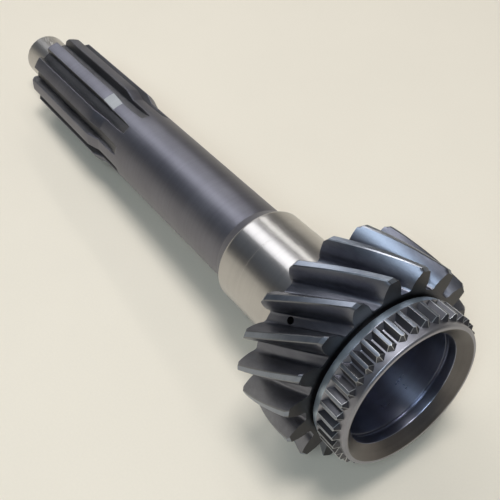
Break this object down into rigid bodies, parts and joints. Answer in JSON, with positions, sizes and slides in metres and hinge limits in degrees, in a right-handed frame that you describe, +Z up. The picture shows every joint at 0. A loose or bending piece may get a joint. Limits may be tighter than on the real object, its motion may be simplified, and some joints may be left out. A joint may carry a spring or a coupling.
{
  "type": "gearbox main drive gear",
  "caption": "Gearbox input shaft in one piece: left-hand helical gear, ring of clutch teeth round a bearing pocket, ground journal, long body, splined end and plain pilot.",
  "frame": {"origin": "centre of the bounding box, on the floor that the shaft lies on", "axes": "+X along the lying shaft towards the gear end, +Z up, +Y completes the right-handed frame; the shaft's axis is tilted 5.3 degrees, gear end up, because it rests on its gear teeth and on its splines"},
  "size_m": [0.2126, 0.0586, 0.0598],
  "materials": {
    "steel": "machined, ground and oiled"
  },
  "bodies": {
    "root": {"main_drive_gear": "steel"}
  },
  "joints": []
}
